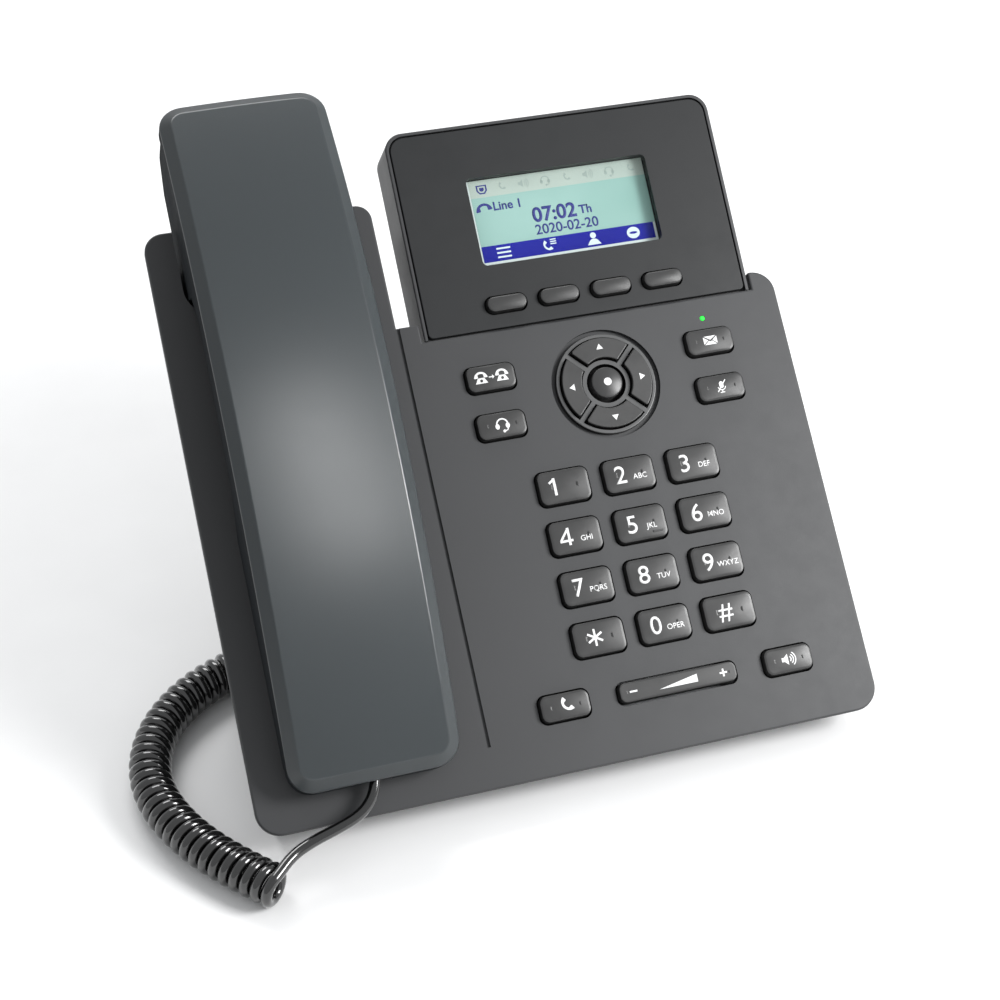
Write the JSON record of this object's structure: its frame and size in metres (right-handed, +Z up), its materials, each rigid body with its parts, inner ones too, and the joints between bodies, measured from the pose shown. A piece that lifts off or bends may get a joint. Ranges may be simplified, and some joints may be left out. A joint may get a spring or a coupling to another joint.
{
  "type": "desk ip phone",
  "caption": "Corded desk phone with a sloping keypad housing, a tilted display, a cradled handset and a curly cord.",
  "frame": {"origin": "centre of the phone's footprint on the table, under the middle of its box without the cord", "axes": "+X to the right of a person using it, +Y towards the back, +Z up"},
  "size_m": [0.2101, 0.1705, 0.1541],
  "materials": {
    "housing": "satin moulded, fine texture",
    "key": "satin",
    "bezel": "satin",
    "screen_panel": "satin",
    "window": "clear",
    "display": "backlit",
    "circuit_board": "solder mask",
    "membrane": "matte",
    "message_light": "translucent",
    "capsule": "matte",
    "handset": "satin moulded",
    "steel": "plated",
    "jack": "moulded",
    "rubber": "matte",
    "plug": "clear moulded",
    "cord": "glossy jacket"
  },
  "bodies": {
    "phone_base": {"front_housing": "housing", "main_board": "circuit_board", "key_membrane": "membrane", "navigation_bezel": "bezel", "message_light": "message_light", "loudspeaker": "capsule", "base_microphone": "capsule", "screen_housing": "housing", "screen_panel": "screen_panel", "display_window": "window", "display_module": "display", "rear_housing": "housing", "foot_stand": "housing", "rubber_feet": "rubber", "housing_screws": "steel", "network_jacks": "jack", "handset_jacks": "jack", "base_plug": "plug", "handset_lead": "cord", "curly_cord": "cord", "base_lead": "cord"},
    "handset": {"handset_cover": "handset", "handset_body": "handset", "handset_receiver": "capsule", "handset_microphone": "capsule", "handset_weight": "steel", "handset_socket": "jack", "handset_screws": "steel", "handset_plug": "plug"},
    "hook": {"hook_switch": "housing"},
    "volume": {"volume_rocker": "key"},
    "key_1": {"key_1": "key"},
    "key_2": {"key_2": "key"},
    "key_3": {"key_3": "key"},
    "key_4": {"key_4": "key"},
    "key_5": {"key_5": "key"},
    "key_6": {"key_6": "key"},
    "key_7": {"key_7": "key"},
    "key_8": {"key_8": "key"},
    "key_9": {"key_9": "key"},
    "key_star": {"key_star": "key"},
    "key_0": {"key_0": "key"},
    "key_hash": {"key_hash": "key"},
    "arrow_key_up": {"arrow_key_up": "key"},
    "arrow_key_left": {"arrow_key_left": "key"},
    "arrow_key_down": {"arrow_key_down": "key"},
    "arrow_key_right": {"arrow_key_right": "key"},
    "select_key": {"select_key": "key"},
    "transfer_key": {"transfer_key": "key"},
    "headset_key": {"headset_key": "key"},
    "message_key": {"message_key": "key"},
    "mute_key": {"mute_key": "key"},
    "send_key": {"send_key": "key"},
    "speaker_key": {"speaker_key": "key"},
    "soft_key_1": {"soft_key_1": "key"},
    "soft_key_2": {"soft_key_2": "key"},
    "soft_key_3": {"soft_key_3": "key"},
    "soft_key_4": {"soft_key_4": "key"}
  },
  "joints": [
    {"name": "handset_lift", "type": "slide", "parent": "phone_base", "child": "handset", "axis": [0, -0.6633, 0.7484], "range_m": [0, 0.03]},
    {"name": "hook_rise", "type": "slide", "parent": "phone_base", "child": "hook", "axis": [0, -0.6633, 0.7484], "range_m": [0, 0.003]},
    {"name": "volume_rock", "type": "hinge", "parent": "phone_base", "child": "volume", "pos_m": [0.0323, -0.05974, 0.01962], "axis": [0, 0.7484, 0.6633], "range_deg": [-2.5, 2.5], "stiffness_Nm_per_rad": 0.17},
    {"name": "key_1_press", "type": "slide", "parent": "phone_base", "child": "key_1", "axis": [0, 0.6633, -0.7484], "range_m": [0, 0.0012], "stiffness_N_per_m": 500, "springref_m": -0.0006},
    {"name": "key_2_press", "type": "slide", "parent": "phone_base", "child": "key_2", "axis": [0, 0.6633, -0.7484], "range_m": [0, 0.0012], "stiffness_N_per_m": 500, "springref_m": -0.0006},
    {"name": "key_3_press", "type": "slide", "parent": "phone_base", "child": "key_3", "axis": [0, 0.6633, -0.7484], "range_m": [0, 0.0012], "stiffness_N_per_m": 500, "springref_m": -0.0006},
    {"name": "key_4_press", "type": "slide", "parent": "phone_base", "child": "key_4", "axis": [0, 0.6633, -0.7484], "range_m": [0, 0.0012], "stiffness_N_per_m": 500, "springref_m": -0.0006},
    {"name": "key_5_press", "type": "slide", "parent": "phone_base", "child": "key_5", "axis": [0, 0.6633, -0.7484], "range_m": [0, 0.0012], "stiffness_N_per_m": 500, "springref_m": -0.0006},
    {"name": "key_6_press", "type": "slide", "parent": "phone_base", "child": "key_6", "axis": [0, 0.6633, -0.7484], "range_m": [0, 0.0012], "stiffness_N_per_m": 500, "springref_m": -0.0006},
    {"name": "key_7_press", "type": "slide", "parent": "phone_base", "child": "key_7", "axis": [0, 0.6633, -0.7484], "range_m": [0, 0.0012], "stiffness_N_per_m": 500, "springref_m": -0.0006},
    {"name": "key_8_press", "type": "slide", "parent": "phone_base", "child": "key_8", "axis": [0, 0.6633, -0.7484], "range_m": [0, 0.0012], "stiffness_N_per_m": 500, "springref_m": -0.0006},
    {"name": "key_9_press", "type": "slide", "parent": "phone_base", "child": "key_9", "axis": [0, 0.6633, -0.7484], "range_m": [0, 0.0012], "stiffness_N_per_m": 500, "springref_m": -0.0006},
    {"name": "key_star_press", "type": "slide", "parent": "phone_base", "child": "key_star", "axis": [0, 0.6633, -0.7484], "range_m": [0, 0.0012], "stiffness_N_per_m": 500, "springref_m": -0.0006},
    {"name": "key_0_press", "type": "slide", "parent": "phone_base", "child": "key_0", "axis": [0, 0.6633, -0.7484], "range_m": [0, 0.0012], "stiffness_N_per_m": 500, "springref_m": -0.0006},
    {"name": "key_hash_press", "type": "slide", "parent": "phone_base", "child": "key_hash", "axis": [0, 0.6633, -0.7484], "range_m": [0, 0.0012], "stiffness_N_per_m": 500, "springref_m": -0.0006},
    {"name": "arrow_key_up_press", "type": "slide", "parent": "phone_base", "child": "arrow_key_up", "axis": [0, 0.6633, -0.7484], "range_m": [0, 0.0012], "stiffness_N_per_m": 500, "springref_m": -0.0006},
    {"name": "arrow_key_left_press", "type": "slide", "parent": "phone_base", "child": "arrow_key_left", "axis": [0, 0.6633, -0.7484], "range_m": [0, 0.0012], "stiffness_N_per_m": 500, "springref_m": -0.0006},
    {"name": "arrow_key_down_press", "type": "slide", "parent": "phone_base", "child": "arrow_key_down", "axis": [0, 0.6633, -0.7484], "range_m": [0, 0.0012], "stiffness_N_per_m": 500, "springref_m": -0.0006},
    {"name": "arrow_key_right_press", "type": "slide", "parent": "phone_base", "child": "arrow_key_right", "axis": [0, 0.6633, -0.7484], "range_m": [0, 0.0012], "stiffness_N_per_m": 500, "springref_m": -0.0006},
    {"name": "select_key_press", "type": "slide", "parent": "phone_base", "child": "select_key", "axis": [0, 0.6633, -0.7484], "range_m": [0, 0.0012], "stiffness_N_per_m": 500, "springref_m": -0.0006},
    {"name": "transfer_key_press", "type": "slide", "parent": "phone_base", "child": "transfer_key", "axis": [0, 0.6633, -0.7484], "range_m": [0, 0.0012], "stiffness_N_per_m": 500, "springref_m": -0.0006},
    {"name": "headset_key_press", "type": "slide", "parent": "phone_base", "child": "headset_key", "axis": [0, 0.6633, -0.7484], "range_m": [0, 0.0012], "stiffness_N_per_m": 500, "springref_m": -0.0006},
    {"name": "message_key_press", "type": "slide", "parent": "phone_base", "child": "message_key", "axis": [0, 0.6633, -0.7484], "range_m": [0, 0.0012], "stiffness_N_per_m": 500, "springref_m": -0.0006},
    {"name": "mute_key_press", "type": "slide", "parent": "phone_base", "child": "mute_key", "axis": [0, 0.6633, -0.7484], "range_m": [0, 0.0012], "stiffness_N_per_m": 500, "springref_m": -0.0006},
    {"name": "send_key_press", "type": "slide", "parent": "phone_base", "child": "send_key", "axis": [0, 0.6633, -0.7484], "range_m": [0, 0.0012], "stiffness_N_per_m": 500, "springref_m": -0.0006},
    {"name": "speaker_key_press", "type": "slide", "parent": "phone_base", "child": "speaker_key", "axis": [0, 0.6633, -0.7484], "range_m": [0, 0.0012], "stiffness_N_per_m": 500, "springref_m": -0.0006},
    {"name": "soft_key_1_press", "type": "slide", "parent": "phone_base", "child": "soft_key_1", "axis": [0, 0.7015, -0.7126], "range_m": [0, 0.0012], "stiffness_N_per_m": 500, "springref_m": -0.0006},
    {"name": "soft_key_2_press", "type": "slide", "parent": "phone_base", "child": "soft_key_2", "axis": [0, 0.7015, -0.7126], "range_m": [0, 0.0012], "stiffness_N_per_m": 500, "springref_m": -0.0006},
    {"name": "soft_key_3_press", "type": "slide", "parent": "phone_base", "child": "soft_key_3", "axis": [0, 0.7015, -0.7126], "range_m": [0, 0.0012], "stiffness_N_per_m": 500, "springref_m": -0.0006},
    {"name": "soft_key_4_press", "type": "slide", "parent": "phone_base", "child": "soft_key_4", "axis": [0, 0.7015, -0.7126], "range_m": [0, 0.0012], "stiffness_N_per_m": 500, "springref_m": -0.0006}
  ],
  "couplings": [
    {"joint": "hook_rise", "follows": "handset_lift", "ratio": 0.1}
  ]
}
